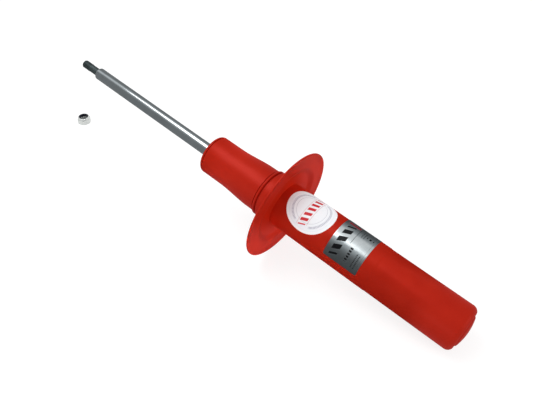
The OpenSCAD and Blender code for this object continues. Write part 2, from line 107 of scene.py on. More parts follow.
# Outer tube: radii and levels, its wall, the length of its swage, and the radii of the holes
# at its lip and at its lower end
UPPER_R, TUBE_END, TUBE_TOP = reach("reservoir_tube")
TUBE_R = MOUNTS["lower_tube"]["dims"]["r_mm"]
NECK_R = MOUNTS["neck"]["dims"]["r_mm"]
CLAMP_LOW, CLAMP_TOP = span("lower_tube")
SWAGE_TOP, NECK_ROLL = span("neck")
WALL, SWAGE_LEN, LIP_R, HOLE_R = 2.0, 31.0, 15.8, 18.3
SWAGE_LOW = SWAGE_TOP - SWAGE_LEN
CORNER_R = CLAMP_LOW - TUBE_END
# Gap between pieces that lie on each other
FIT = 0.02
ON_TUBE = UPPER_R + FIT

# Base cap: its radius, the radii of its dome and of the dome's edge, and its wall
CAP_R, CROWN_R, KNUCKLE_R, CAP_WALL = 18.1, 62.0, 3.4, 3.0

# Spring seat: a raised middle that falls to the plate, and a rim that falls once more. The
# solid's rim is a polygon, so its box is a hair narrower than its corners reach.
SEAT_R, RIM_Z, _ = reach("spring_seat")
SEAT_R -= 0.01
SEAT_WALL, SEAT_STEP, MIDDLE_R, MIDDLE_SLOPE = 2.0, 3.0, 39.5, 9.0
RIM_DROP, RIM_SLOPE, RIM_EDGE = 0.5, 7.8, 0.7
COLLAR_R, COLLAR_LOW, COLLAR_TOP = reach("seat_collar")

# Rod: spigot for the piston, bare rod, shoulder, and stud with its shank and thread
ROD_R, ROD_FOOT, STUD_END = reach("piston_rod")
_, STOP_LOW, STOP_TOP = reach("rebound_stop")
ROD_STEP = reach("intake_stop")[2] + FIT
ROD_LOW = TUBE_TOP + 4
SHOULDER_Z = span("rod_shoulder")[0]
THREAD_LOW = span("rod_stud")[0]
THREAD_R = MOUNTS["rod_stud"]["dims"]["r_mm"]
SPIGOT_R, SHANK_R, PITCH = 5.0, 4.75, 1.25

# Pocket for the insert in the lock nut, from the nut's foot
POCKET_R, POCKET_LOW, POCKET_TOP = 7.15, 7.0, 10.05

# Radius of both labels' faces
LABEL_OUT = reach("rating_label")[0]


def middle_of(node):
    """Level and angle of a label's middle, and its half length and half width in mm."""
    _, low, high = reach(node)
    first, last = sweep(node)
    return (low + high) / 2, (first + last) / 2, (high - low) / 2, (last - first) / 2 * LABEL_OUT


# ---------------------------------------------------------------- camera

# Where the camera stands, in metres, and how it is turned, in degrees
CAMERA_PLACE = (0.37527, -0.39507, 0.48745)
CAMERA_TURN = (49.517, -0.447, 38.838)

camera_data = bpy.data.cameras.new("camera")
camera_data.lens = 40.19
camera_data.sensor_width = 36
camera_data.sensor_fit = "HORIZONTAL"
camera_data.clip_start = 0.01
camera = bpy.data.objects.new("camera", camera_data)
camera_turn = Euler([math.radians(a) for a in CAMERA_TURN])
camera.matrix_world = Matrix.Translation(CAMERA_PLACE) @ camera_turn.to_matrix().to_4x4()
bpy.context.scene.collection.objects.link(camera)
bpy.context.scene.camera = camera


# ---------------------------------------------------------------- node building

class Nodes:
    """The node tree of a material or the world, with arithmetic on sockets."""

    def __init__(self, owner):
        owner.use_nodes = True
        self.owner = owner
        self.tree = owner.node_tree

    def add(self, kind, **values):
        node = self.tree.nodes.new(kind)
        for key, value in values.items():
            setattr(node, key, value)
        return node

    def feed(self, socket, value):
        """Links an output to a socket, or sets the socket's own value."""
        if isinstance(value, (Number, bpy.types.NodeSocket)):
            self.tree.links.new(getattr(value, "socket", value), socket)
        elif isinstance(value, (tuple, list)) and len(value) == 3 and socket.type == "RGBA":
            socket.default_value = (*value, 1)
        else:
            socket.default_value = value

    def math(self, operation, *inputs):
        node = self.add("ShaderNodeMath", operation=operation)
        for socket, value in zip(node.inputs, inputs):
            self.feed(socket, value)
        return Number(self, node.outputs[0])

    def coordinates(self, scale, stretch=(1, 1, 1)):
        """Place on the object in mm, turned so that Z runs along the strut."""
        place = self.add("ShaderNodeTexCoord").outputs["Object"]
        turn = self.add("ShaderNodeMapping", vector_type="POINT")
        self.feed(turn.inputs["Vector"], place)
        turn.inputs["Rotation"].default_value = TO_SHARED.transposed().to_euler()
        size = self.add("ShaderNodeVectorMath", operation="MULTIPLY")
        self.feed(size.inputs[0], turn.outputs[0])
        size.inputs[1].default_value = [scale * s / MM for s in stretch]
        return size.outputs[0]

    def noise(self, scale, stretch=(1, 1, 1), detail=2.0, roughness=0.5):
        """Noise from 0 to 1, with scale cells to the millimetre."""
        node = self.add("ShaderNodeTexNoise")
        self.feed(node.inputs["Vector"], self.coordinates(scale, stretch))
        node.inputs["Scale"].default_value = 1
        node.inputs["Detail"].default_value = detail
        node.inputs["Roughness"].default_value = roughness
        return Number(self, node.outputs["Fac"])

    def voronoi(self, scale):
        """Distance to the nearest of scattered points, with scale cells to the millimetre."""
        node = self.add("ShaderNodeTexVoronoi")
        self.feed(node.inputs["Vector"], self.coordinates(scale))
        node.inputs["Scale"].default_value = 1
        return Number(self, node.outputs["Distance"])

    def uv(self):
        """The label's own place in mm: along the tube, and round it."""
        split = self.add("ShaderNodeSeparateXYZ")
        self.feed(split.inputs[0], self.add("ShaderNodeUVMap", uv_map="print").outputs[0])
        return Number(self, split.outputs[0]), Number(self, split.outputs[1])

    def blend(self, factor, first, second):
        """Colour that goes from the first to the second."""
        node = self.add("ShaderNodeMix", data_type="RGBA")
        self.feed(node.inputs[0], factor)
        self.feed(node.inputs[6], first)
        self.feed(node.inputs[7], second)
        return node.outputs[2]

    def ramp(self, value, *stops):
        """Colour ramp whose stops are places and colours."""
        node = self.add("ShaderNodeValToRGB")
        self.feed(node.inputs[0], value)
        while len(node.color_ramp.elements) < len(stops):
            node.color_ramp.elements.new(0.5)
        for element, (place, colour) in zip(node.color_ramp.elements, stops):
            element.position = place
            element.color = (*colour, 1)
        return node.outputs[0]

    def bump(self, height, distance, strength, under=None):
        """Bump whose height of 1 stands for that distance in mm."""
        node = self.add("ShaderNodeBump")
        node.inputs["Strength"].default_value = strength
        node.inputs["Distance"].default_value = distance * MM
        self.feed(node.inputs["Height"], height)
        if under is not None:
            self.feed(node.inputs["Normal"], under)
        return node.outputs[0]

    def finish(self, **values):
        """Sets the sockets of the material's own shader."""
        shader = self.tree.nodes["Principled BSDF"]
        for key, value in values.items():
            self.feed(shader.inputs[key.replace("_", " ")], value)
        return self.owner

    def glow(self, kind, colour, strength):
        """Emission or background shader of that strength."""
        node = self.add(kind)
        self.feed(node.inputs["Color"], colour)
        self.feed(node.inputs["Strength"], strength)
        return node

    def mix(self, factor, first, second):
        """Shader that goes from the first to the second."""
        node = self.add("ShaderNodeMixShader")
        self.feed(node.inputs[0], factor)
        self.feed(node.inputs[1], first.outputs[0])
        self.feed(node.inputs[2], second.outputs[0])
        return node

    def seen(self):
        """1 for camera, glossy and transmission rays, and 0 for those that light the object."""
        path = self.add("ShaderNodeLightPath").outputs
        camera_ray, glossy_ray, passing_ray = (
            Number(self, path[f"Is {kind} Ray"]) for kind in ("Camera", "Glossy", "Transmission")
        )
        return camera_ray.most(glossy_ray).most(passing_ray)

    def surface(self, shader):
        """Puts a shader in the place of the one that the tree starts with."""
        output = next(node for node in self.tree.nodes if "ShaderNodeOutput" in node.bl_idname)
        self.tree.nodes.remove(output.inputs["Surface"].links[0].from_node)
        self.feed(output.inputs["Surface"], shader.outputs[0])
        return self.owner


class Number:
    """A socket that holds a number, for formulas."""

    def __init__(self, nodes, socket):
        self.nodes, self.socket = nodes, socket

    def __add__(self, other):
        return self.nodes.math("ADD", self, other)

    def __sub__(self, other):
        return self.nodes.math("SUBTRACT", self, other)

    def __rsub__(self, other):
        return self.nodes.math("SUBTRACT", other, self)

    def __mul__(self, other):
        return self.nodes.math("MULTIPLY", self, other)

    def __truediv__(self, other):
        return self.nodes.math("DIVIDE", self, other)

    def __abs__(self):
        return self.nodes.math("ABSOLUTE", self)

    def root(self):
        return self.nodes.math("SQRT", self)

    def most(self, other):
        return self.nodes.math("MAXIMUM", self, other)

    def least(self, other):
        return self.nodes.math("MINIMUM", self, other)

    def every(self, step):
        """Place inside its repeat, from minus to plus half a step."""
        return self.nodes.math("WRAP", self, step / 2, -step / 2)

    def under(self, limit, soft=0.12):
        """1 below the limit and 0 above it, with a soft edge."""
        node = self.nodes.add("ShaderNodeMapRange", interpolation_type="SMOOTHSTEP")
        self.nodes.feed(node.inputs[0], self)
        node.inputs[1].default_value = limit - soft
        node.inputs[2].default_value = limit + soft
        node.inputs[3].default_value = 1
        node.inputs[4].default_value = 0
        return Number(self.nodes, node.outputs[0])

    def band(self, middle, width, soft=0.12):
        """1 within half a width of the middle."""
        return abs(self - middle).under(width / 2, soft)


def material(name):
    """Nodes of a new material."""
    return Nodes(bpy.data.materials.new(name))


# ---------------------------------------------------------------- materials

def red_paint():
    """Satin red paint: faint orange peel, a slightly uneven film and a thin clear gloss."""
    n = material("red_paint")
    film = n.noise(0.05, detail=3)
    peel = n.noise(0.75, detail=1.5)
    speck = n.noise(3.0, detail=2)
    colour = n.ramp(
        film * 0.75 + speck * 0.25,
        (0.3, (0.410, 0.0122, 0.0034)), (0.7, (0.457, 0.0160, 0.0048)),
    )
    return n.finish(
        Base_Color=colour,
        Metallic=0.15,
        Specular_Tint=(1.0, 0.36, 0.22),
        Roughness=film * 0.08 + speck * 0.05 + 0.36,
        Normal=n.bump(peel, 0.02, 0.5, n.bump(speck, 0.004, 0.4)),
        Specular_IOR_Level=0.0,
        Coat_Weight=0.15,
        Coat_Roughness=0.35,
    )


def hard_chrome():
    """Ground and plated rod: fine marks round the axis, and a few along it."""
    n = material("hard_chrome")
    rings = n.noise(1.0, (0.08, 0.08, 2.5), detail=1)
    haze = n.noise(0.06, detail=3)
    colour = n.ramp(haze, (0.3, (0.43, 0.455, 0.465)), (0.7, (0.50, 0.525, 0.535)))
    return n.finish(
        Base_Color=colour,
        Metallic=1.0,
        Roughness=rings * 0.05 + haze * 0.06 + 0.08,
        Normal=n.bump(rings, 0.0003, 0.3),
    )


def dark_stud():
    """Phosphated steel of the turned and threaded end."""
    n = material("dark_stud")
    turning = n.noise(1.0, (0.05, 0.05, 5.0), detail=2)
    grain = n.noise(1.6, detail=4)
    colour = n.ramp(
        turning * 0.5 + grain * 0.5, (0.3, (0.060, 0.080, 0.080)), (0.7, (0.120, 0.145, 0.145)),
    )
    return n.finish(
        Base_Color=colour,
        Metallic=0.85,
        Roughness=grain * 0.16 + 0.30,
        Normal=n.bump(turning, 0.004, 0.5, n.bump(grain, 0.004, 0.5)),
    )


def metal(name, dark, light, roughness, grain=0.8, stretch=(1, 1, 1), depth=0.006, pits=0.0):
    """Plain metal with grain, and pits for a sintered or cast one."""
    n = material(name)
    cloud = n.noise(0.08, detail=3)
    marks = n.noise(grain, stretch, detail=3)
    height = marks
    if pits:
        height = marks * 0.4 + n.voronoi(1.1).least(pits) / pits
    return n.finish(
        Base_Color=n.ramp(cloud * 0.5 + marks * 0.5, (0.3, dark), (0.7, light)),
        Metallic=1.0,
        Roughness=marks * 0.12 + cloud * 0.08 + roughness,
        Normal=n.bump(height, depth, 0.6),
    )


def soft(name, dark, light, roughness, depth=0.02, gloss=0.4):
    """Rubber, elastomer or nylon with a fine moulded grain."""
    n = material(name)
    cloud = n.noise(0.15, detail=3)
    marks = n.noise(1.2, detail=4, roughness=0.6)
    return n.finish(
        Base_Color=n.ramp(cloud * 0.6 + marks * 0.4, (0.3, dark), (0.7, light)),
        Roughness=marks * 0.14 + roughness,
        Normal=n.bump(marks, depth, 0.6),
        Specular_IOR_Level=gloss,
    )


def white_label():
    """Printed round label: white edge, pale field, rings, two arcs of ticks and slanted bars."""
    n = material("white_label")
    u, v = n.uv()
    r = (u * u + v * v).root()
    edge = middle_of("round_label")[2]
    field = r.under(edge - 1.9)
    ring = r.band(0.60 * edge, 0.32, 0.10)
    outer = r.band(edge - 3.4, 0.14, 0.08)
    # An arc of ticks on either side of the bars
    low, high = 0.70 * edge, 0.79 * edge
    tick_step, tick_width = math.radians(4.0), 0.75
    along = n.math("ARCTAN2", u, v).every(tick_step) * r
    tick = along.band(0.0, tick_width, 0.10) * r.band((low + high) / 2, high - low, 0.10)
    side = (abs(u) - abs(v) * 0.45).under(0.0, 0.5)
    marks = tick * (1 - side)
    # A row of slanted bars between two thin lines
    lean, bar_step, bar_width, bar_half, row_half = 0.38, 6.6, 3.5, 3.9, 19.6
    line_place, line_width = 5.4, 0.36
    slant = v - u * lean
    row = abs(slant).under(row_half)
    bar = slant.every(bar_step).band(0.0, bar_width) * abs(u).under(bar_half) * row
    line = (abs(u) - line_place).band(0.0, line_width) * row
    paper = n.noise(0.9, detail=3)
    white = n.ramp(paper, (0.3, (0.90, 0.90, 0.915)), (0.7, (0.93, 0.93, 0.945)))
    lilac = n.ramp(paper, (0.3, (0.85, 0.875, 0.91)), (0.7, (0.89, 0.91, 0.94)))
    red = n.ramp(n.noise(0.12, detail=1), (0.35, (0.56, 0.010, 0.016)), (0.65, (0.66, 0.022, 0.035)))
    colour = n.blend(field, white, lilac)
    colour = n.blend(ring.most(outer * 0.5) * 0.75, colour, (0.40, 0.40, 0.47))
    colour = n.blend(marks * 0.75, colour, (0.28, 0.28, 0.38))
    colour = n.blend(bar.most(line * 0.6), colour, red)
    return n.finish(
        Base_Color=colour,
        Roughness=paper * 0.08 + 0.42,
        Normal=n.bump(paper * 0.3 - bar * 0.7, 0.008, 0.5),
        Specular_IOR_Level=0.3,
    )


def patch(u, v, middle, half, soft=0.12):
    """1 inside a rectangle of a label, given by its middle and half sizes in mm."""
    return abs(u - middle[0]).under(half[0], soft) * abs(v - middle[1]).under(half[1])


def brushed(n, u, v):
    """Streaks of a brushed foil, short along the tube and long round it."""
    place = n.add("ShaderNodeCombineXYZ")
    n.feed(place.inputs[0], u * 5.0)
    n.feed(place.inputs[1], v * 0.22)
    streaks = n.add("ShaderNodeTexNoise")
    n.feed(streaks.inputs["Vector"], place.outputs[0])
    streaks.inputs["Scale"].default_value = 1
    streaks.inputs["Detail"].default_value = 3
    return Number(n, streaks.outputs["Fac"])


def silver_label():
    """Brushed foil label with plain printed bars, rules and blocks."""
    n = material("silver_label")
    u, v = n.uv()
    _, _, half_u, half_v = middle_of("rating_label")
    # A row of slanted bars along the seat's side, and a plain dark-red bar after them
    bars_u, lean, bar_step, bar_width = -10.5, 0.45, 9.6, 5.6
    slant = v - (u - bars_u) * lean + 6.5
    ink = slant.every(bar_step).band(0.0, bar_width) * patch(u, slant, (bars_u, 0.0), (4.3, 19.0))
    red = patch(u, v, (-9.5, 17.5), (7.0, 2.0))
    # A long rule, and a thin grey one by the far edge
    ink = ink.most(patch(u, v, (-1.2, 7.0), (0.22, 13.0), 0.08))
    ink = ink.most(patch(u, v, (half_u - 2.6, 0.0), (0.12, half_v - 3.0), 0.06) * 0.7)
    # A row of small blocks, two pairs of rows of ticks, and three blocks side by side
    ink = ink.most(v.every(3.1).band(0.0, 2.0) * patch(u, v, (3.6, -16.0), (1.5, 8.4)))
    tick = v.every(1.7).band(0.0, 1.05, 0.08)
    for middle, half in (
        ((11.6, -18.5), (0.65, 8.0)), ((14.6, -18.5), (0.65, 8.0)),
        ((3.2, 11.0), (0.45, 4.4)), ((5.8, 11.0), (0.45, 4.4)),
    ):
        ink = ink.most(tick * patch(u, v, middle, half, 0.1))
    blocks_u, block_step, block_width = 12.2, 4.2, 2.2
    blocks = patch(u, v, (blocks_u, 11.0), (4.1, 1.5))
    ink = ink.most((u - blocks_u).every(block_step).band(0.0, block_width) * blocks)
    brush = brushed(n, u, v)
    cloud = n.noise(0.05, detail=2)
    foil = n.ramp(brush * 0.6 + cloud * 0.4, (0.3, (0.34, 0.385, 0.40)), (0.7, (0.56, 0.59, 0.60)))
    colour = n.blend(ink, foil, (0.004, 0.0045, 0.006))
    colour = n.blend(red, colour, (0.20, 0.020, 0.026))
    printed = ink.most(red)
    return n.finish(
        Base_Color=colour,
        Metallic=1 - printed,
        Roughness=brush * 0.08 + printed * 0.1 + 0.26,
        Normal=n.bump(brush, 0.0015, 0.5),
        Specular_IOR_Level=0.15,
    )


MATERIALS = {
    "red_paint": red_paint(),
    "hard_chrome": hard_chrome(),
    "dark_stud": dark_stud(),
    "white_label": white_label(),
    "silver_label": silver_label(),
    "plain_steel": metal(
        "plain_steel", (0.24, 0.25, 0.26), (0.36, 0.37, 0.38), 0.28, stretch=(0.1, 0.1, 3),
    ),
    "spring_steel": metal(
        "spring_steel", (0.40, 0.41, 0.42), (0.52, 0.53, 0.54), 0.18, stretch=(0.2, 0.2, 2),
    ),
    "sintered_iron": metal(
        "sintered_iron", (0.15, 0.155, 0.16), (0.26, 0.265, 0.27), 0.45, depth=0.03, pits=0.25,
    ),
    "bush_bronze": metal(
        "bush_bronze", (0.36, 0.25, 0.11), (0.50, 0.37, 0.19), 0.25, stretch=(0.1, 0.1, 2),
    ),
    "bright_zinc": metal(
        "bright_zinc", (0.52, 0.54, 0.53), (0.68, 0.70, 0.68), 0.16, grain=0.6, depth=0.004,
    ),
    "black_rubber": soft("black_rubber", (0.012, 0.012, 0.013), (0.028, 0.028, 0.03), 0.5),
    "bumper_elastomer": soft("bumper_elastomer", (0.035, 0.031, 0.027), (0.065, 0.058, 0.05), 0.55),
    "band_polymer": soft("band_polymer", (0.05, 0.04, 0.032), (0.09, 0.072, 0.058), 0.4),
    "dark_nylon": soft(
        "dark_nylon", (0.003, 0.004, 0.010), (0.008, 0.010, 0.022), 0.32, depth=0.01, gloss=0.12,
    ),
}


# ---------------------------------------------------------------- meshes

def volume(mesh):
    """Six times the volume of a closed mesh, below 0 where its faces look inwards."""
    mesh.calc_loop_triangles()
    total = 0.0
    for triangle in mesh.loop_triangles:
        a, b, c = (mesh.vertices[i].co for i in triangle.vertices)
        total += a.dot(b.cross(c))
    return total


def piece(name, verts, faces, place, materials, crease=38, material_index=None, uvs=None):
    """A finished mesh object in the shared frame, with sharp edges where faces meet steeply."""
    mesh = bpy.data.meshes.new(name)
    mesh.from_pydata([place @ Vector(v) for v in verts], [], faces)
    for m in materials:
        mesh.materials.append(MATERIALS[m])
    if material_index is not None:
        mesh.polygons.foreach_set("material_index", material_index)
    mesh.polygons.foreach_set("use_smooth", [True] * len(faces))
    if uvs is not None:
        layer = mesh.uv_layers.new(name="print")
        order = np.empty(len(mesh.loops), int)
        mesh.loops.foreach_get("vertex_index", order)
        layer.data.foreach_set("uv", np.array(uvs, float)[order].ravel())
    if volume(mesh) < 0:
        mesh.flip_normals()
    mesh.set_sharp_from_angle(angle=math.radians(crease))
    mesh.validate()
    mesh.update()
    obj = bpy.data.objects.new(name, mesh)
    bpy.context.scene.collection.objects.link(obj)
    return obj


def spin(section, segments, closed=True, wave=None):
    """Vertices and faces of a section (r, z) spun round Z, and for every face the place in the
    section that it starts from. A closed section makes a ring, and an open one starts and ends
    on the axis. wave(r, z, angle) may move a point."""
    verts, rows = [], []
    for r, z in section:
        if r < 1e-6:
            rows.append([len(verts)] * segments)
            verts.append((0, 0, z))
            continue
        rows.append(list(range(len(verts), len(verts) + segments)))
        for k in range(segments):
            a = 2 * math.pi * k / segments
            rr, zz = wave(r, z, a) if wave else (r, z)
            verts.append((rr * math.cos(a), rr * math.sin(a), zz))
    faces, owners = [], []
    count = len(rows)
    for i in range(count if closed else count - 1):
        low, high = rows[i], rows[(i + 1) % count]
        for k in range(segments):
            j = (k + 1) % segments
            corner = [low[k], low[j], high[j], high[k]]
            face = [c for m, c in enumerate(corner) if c != corner[m - 1]]
            if len(face) > 2:
                faces.append(face)
                owners.append(i)
    return verts, faces, owners


def rounded(points, steps):
    """A closed section whose corners (r, z, fillet) are rounded."""
    out = []
    for i, (r, z, fillet) in enumerate(points):
        if not fillet:
            out.append((r, z))
            continue
        p = np.array((r, z))
        a = np.array(points[i - 1][:2]) - p
        b = np.array(points[(i + 1) % len(points)][:2]) - p
        la, lb = np.linalg.norm(a), np.linalg.norm(b)
        a, b = a / la, b / lb
        half = math.acos(float(a @ b)) / 2
        cut = min(fillet / math.tan(half), 0.499 * la, 0.499 * lb)
        radius = cut * math.tan(half)
        middle = p + (a + b) / np.linalg.norm(a + b) * radius / math.sin(half)
        start, end = p + a * cut - middle, p + b * cut - middle
        turn = math.atan2(start[0] * end[1] - start[1] * end[0], float(start @ end))
        for k in range(steps + 1):
            t = turn * k / steps
            out.append((
                float(middle[0] + start[0] * math.cos(t) - start[1] * math.sin(t)),
                float(middle[1] + start[0] * math.sin(t) + start[1] * math.cos(t)),
            ))
    return out


def ease(low, high, a, b, steps):
    """Section points of a soft step from radius a at level low to radius b at level high."""
    out = []
    for i in range(steps + 1):
        t = i / steps
        s = t * t * (3 - 2 * t)
        out.append((a + (b - a) * s, low + (high - low) * t))
    return out


def level_step(inner, outer, a, b, steps):
    """Section points of a soft step from level a at radius inner to level b at radius outer."""
    return [(r, z) for z, r in ease(inner, outer, a, b, steps)]


def arc(r, z, radius, a, b, steps):
    """Section points of an arc round (r, z) from angle a to angle b, in degrees."""
    return [
        (r + radius * math.cos(math.radians(a + (b - a) * i / steps)),
         z + radius * math.sin(math.radians(a + (b - a) * i / steps)))
        for i in range(steps + 1)
    ]


def turned(name, section, node, segments=192, closed=True, wave=None):
    """A red painted piece turned round the strut's axis, on the tube's own body."""
    verts, faces, _ = spin(section, segments, closed, wave)
    obj = piece(name, verts, faces, LAY, ["red_paint"])
    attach(obj, "root")
    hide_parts(node)
    return obj


def body_tube():
    """Outer tube: rolled lower corner, soft swage, spun-in neck corner and lip."""
    roll, lip_fillet = TUBE_TOP - NECK_ROLL, 0.7
    # Depths of the creases below the neck's corner and beside the weld bead
    neck_crease, bead_crease = 1.2, 0.9
    bead_end = COLLAR_TOP + 2.2
    mouth = [(HOLE_R, TUBE_END + 1.9), (HOLE_R + 0.8, TUBE_END + 1.7), (HOLE_R + 1.9, TUBE_END + 0.9)]
    # The levels 30, 60, 140, 180 and 220 only divide the straight stretches
    lower = arc(TUBE_R - CORNER_R, CLAMP_LOW, CORNER_R, -70, 0, 22)
    lower += [(TUBE_R, 30), (TUBE_R, 60), (TUBE_R, CLAMP_TOP - 2)]
    upper = ease(CLAMP_TOP, CLAMP_TOP + 3, TUBE_R, UPPER_R, 6)
    upper += [(UPPER_R, 140), (UPPER_R, 180), (UPPER_R, 220)]
    upper += [
        (UPPER_R, bead_end - 0.4), (UPPER_R - bead_crease, bead_end - 0.2),
        (UPPER_R - bead_crease, bead_end + 0.4), (UPPER_R, bead_end + 0.8),
    ]
    neck = ease(SWAGE_LOW - 6, SWAGE_TOP + 6, UPPER_R, NECK_R, 22)
    neck += [
        (NECK_R, NECK_ROLL - 1.2), (NECK_R - 0.1, NECK_ROLL - 0.95),
        (NECK_R - neck_crease, NECK_ROLL - 0.8), (NECK_R - neck_crease, NECK_ROLL - 0.2),
    ]
    lip = arc(NECK_R - roll, NECK_ROLL, roll, 3, 90, 14) + [(LIP_R + lip_fillet, TUBE_TOP)]
    lip += arc(LIP_R + lip_fillet, TUBE_TOP - lip_fillet, lip_fillet, 100, 180, 4)
    inside = [
        (LIP_R, TUBE_TOP - WALL), (NECK_R - WALL, TUBE_TOP - WALL),
        (NECK_R - WALL, SWAGE_TOP), (TUBE_R - WALL, SWAGE_LOW),
    ]
    inside += arc(TUBE_R - CORNER_R, CLAMP_LOW, CORNER_R - WALL, 0, -90, 10)
    inside += [(HOLE_R, TUBE_END + WALL)]
    turned("body_tube", mouth + lower + upper + neck + lip + inside, "reservoir_tube", segments=256)


def base_plate():
    """Domed end plate that stands in the tube's rolled end."""
    inner = CROWN_R - KNUCKLE_R
    spread = math.degrees(math.asin((CAP_R - KNUCKLE_R) / inner))
    level = CROWN_R - inner * math.cos(math.radians(spread))
    knuckle = CAP_R - KNUCKLE_R
    top = TUBE_END + WALL + CAP_WALL
    # The plate follows the inside of the tube's rolled corner
    bend = CORNER_R - WALL - 2 * FIT
    end = math.degrees(math.asin((top - CLAMP_LOW) / bend))
    outside = arc(0, CROWN_R, CROWN_R, -90, -90 + spread, 16)
    outside += arc(knuckle, level, KNUCKLE_R, -90 + spread, 0, 12)[1:]
    outside += [(CAP_R, TUBE_END + WALL), (TUBE_R - CORNER_R, TUBE_END + WALL)]
    outside += arc(TUBE_R - CORNER_R, CLAMP_LOW, bend, -80, end, 8)
    inside = [
        (CAP_R - CAP_WALL + 0.4, top), (CAP_R - CAP_WALL, top - 0.4), (CAP_R - CAP_WALL, level),
    ]
    inside += arc(knuckle, level, KNUCKLE_R - CAP_WALL, 0, -90 + spread, 4)[1:]
    inside += arc(0, CROWN_R, CROWN_R - CAP_WALL, -90 + spread, -90, 12)[1:]
    section = outside + inside
    section[0] = (0.0, section[0][1])
    section[-1] = (0.0, section[-1][1])
    turned("base_plate", section, "base_cap", closed=False)


def seat_dish():
    """Pressed spring seat with a raised middle, a wide slope and a rounded rim."""
    edge, edge_r = RIM_EDGE, SEAT_R - RIM_EDGE
    plate = RIM_Z + RIM_DROP
    middle = plate + SEAT_STEP
    # The radii 32, 52 and 56 only divide the level stretches
    face = [(ON_TUBE, middle), (32.0, middle)]
    face += level_step(MIDDLE_R, MIDDLE_R + MIDDLE_SLOPE, middle, plate, 16)
    face += [(52.0, plate), (56.0, plate)]
    face += level_step(edge_r - RIM_SLOPE, edge_r, plate, RIM_Z, 8)[1:]
    rim = arc(edge_r, RIM_Z + edge, edge, -80, 0, 6)
    rim += arc(edge_r, RIM_Z + SEAT_WALL - edge, edge, 0, 80, 6)
    back = [(r, z + SEAT_WALL) for r, z in reversed(face)]
    obj = turned("seat_dish", face + rim + back, "spring_seat", segments=256)
    # The small flat on which the rim rests
    for vertex in obj.data.vertices:
        vertex.co.z = max(vertex.co.z, 0.0)


def seat_ring():
    """Collar on the seat's rod side, with a rounded shoulder a little short of the weld bead."""
    shoulder, fillet = COLLAR_TOP - 3.8, 1.3
    section = [
        (ON_TUBE, COLLAR_LOW), (COLLAR_R - 0.4, COLLAR_LOW), (COLLAR_R, COLLAR_LOW + 0.4),
        (COLLAR_R, COLLAR_TOP - 10),
    ]
    section += arc(COLLAR_R - fillet, shoulder - fillet, fillet, 0, 90, 8)
    section += [(ON_TUBE, shoulder)]
    turned("seat_ring", section, "seat_collar", segments=256)


def seat_weld():
    """Weld bead between the collar and the tube, with the ripples of its run."""
    middle, size = COLLAR_TOP + 0.1, 1.9
    section = [(ON_TUBE, middle - size), (ON_TUBE, middle + size)]
    section += arc(ON_TUBE, middle, size, 84, -84, 16)

    def ripple(r, z, a):
        """64 ripples round the bead, and a slow change of its size."""
        lift = 0.955 + 0.035 * math.sin(a * 64) + 0.01 * math.sin(a * 7 + 1)
        return ON_TUBE + (r - ON_TUBE) * lift, middle + (z - middle) * lift

    turned("seat_weld", section, "collar_weld", segments=512, wave=ripple)


def rod_and_stud():
    """Piston rod in one piece: spigot, stop groove, chromed rod, shoulder, shank and thread."""
    groove, depth = ROD_R - 0.7, 0.70
    # The levels 330, 400 and 460 only divide the bare rod
    bright = [
        (0.0, ROD_FOOT), (SPIGOT_R - 1, ROD_FOOT), (SPIGOT_R, ROD_FOOT + 1), (SPIGOT_R, ROD_STEP),
        (ROD_R, ROD_STEP), (ROD_R, STOP_LOW), (groove, STOP_LOW), (groove, STOP_TOP), (ROD_R, STOP_TOP),
        (ROD_R, 330.0), (ROD_R, 400.0), (ROD_R, 460.0), (ROD_R, SHOULDER_Z - 1.2),
        (ROD_R - 0.12, SHOULDER_Z - 0.85), (ROD_R - 0.9, SHOULDER_Z - 0.1),
    ]
    dark = [
        (ROD_R - 1.1, SHOULDER_Z), (SHANK_R + 0.45, SHOULDER_Z),
        (SHANK_R + 0.12, SHOULDER_Z + 0.14), (SHANK_R, SHOULDER_Z + 0.5), (SHANK_R, THREAD_LOW - 1.6),
    ]
    steps = 132
    low, high = THREAD_LOW - 1.2, STUD_END
    threaded = [(THREAD_R, low + (high - low) * i / steps) for i in range(steps + 1)]

    def cut(r, z, a):
        """Cuts the thread, which starts softly at the shank and is chamfered at the end."""
        if z < low - 1e-6 or r < 1:
            return r, z
        turn = (z / PITCH - a / (2 * math.pi)) % 1.0
        tooth = min(1.0, max(0.0, (abs(turn - 0.5) * 2 - 0.10) / 0.75))
        run_in = min(1.0, max(0.0, (z - low) / 1.6))
        run_out = min(1.0, max(0.0, (high - z) / 0.9))
        crest = THREAD_R - 0.02 - 0.85 * (1 - run_out)
        root = crest - depth * (0.35 + 0.65 * run_out)
        full = root + (crest - root) * tooth
        return SHANK_R + (full - SHANK_R) * run_in, z

    section = bright + dark + threaded + [(3.2, STUD_END), (0.0, STUD_END)]
    verts, faces, owners = spin(section, 96, False, cut)
    kinds = [0 if owner < len(bright) else 1 for owner in owners]
    obj = piece("rod_and_stud", verts, faces, LAY, ["hard_chrome", "dark_stud"], 50, kinds)
    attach(obj, "rod")
    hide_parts("piston_rod")


def nut_place():
    """Where the nut stands, turned so that a flat faces along its own X."""
    middle = Vector(MOUNTS["nut_thread"]["pos_m"]).to_2d().to_3d()
    rays = corners("lock_nut") - np.array(middle)
    far = rays[np.hypot(rays[:, 0], rays[:, 1]).argmax()]
    turn = math.atan2(far[1], far[0]) - math.radians(30)
    return Matrix.Translation(middle) @ Matrix.Rotation(turn, 4, "Z") @ Matrix.Scale(MM, 4)


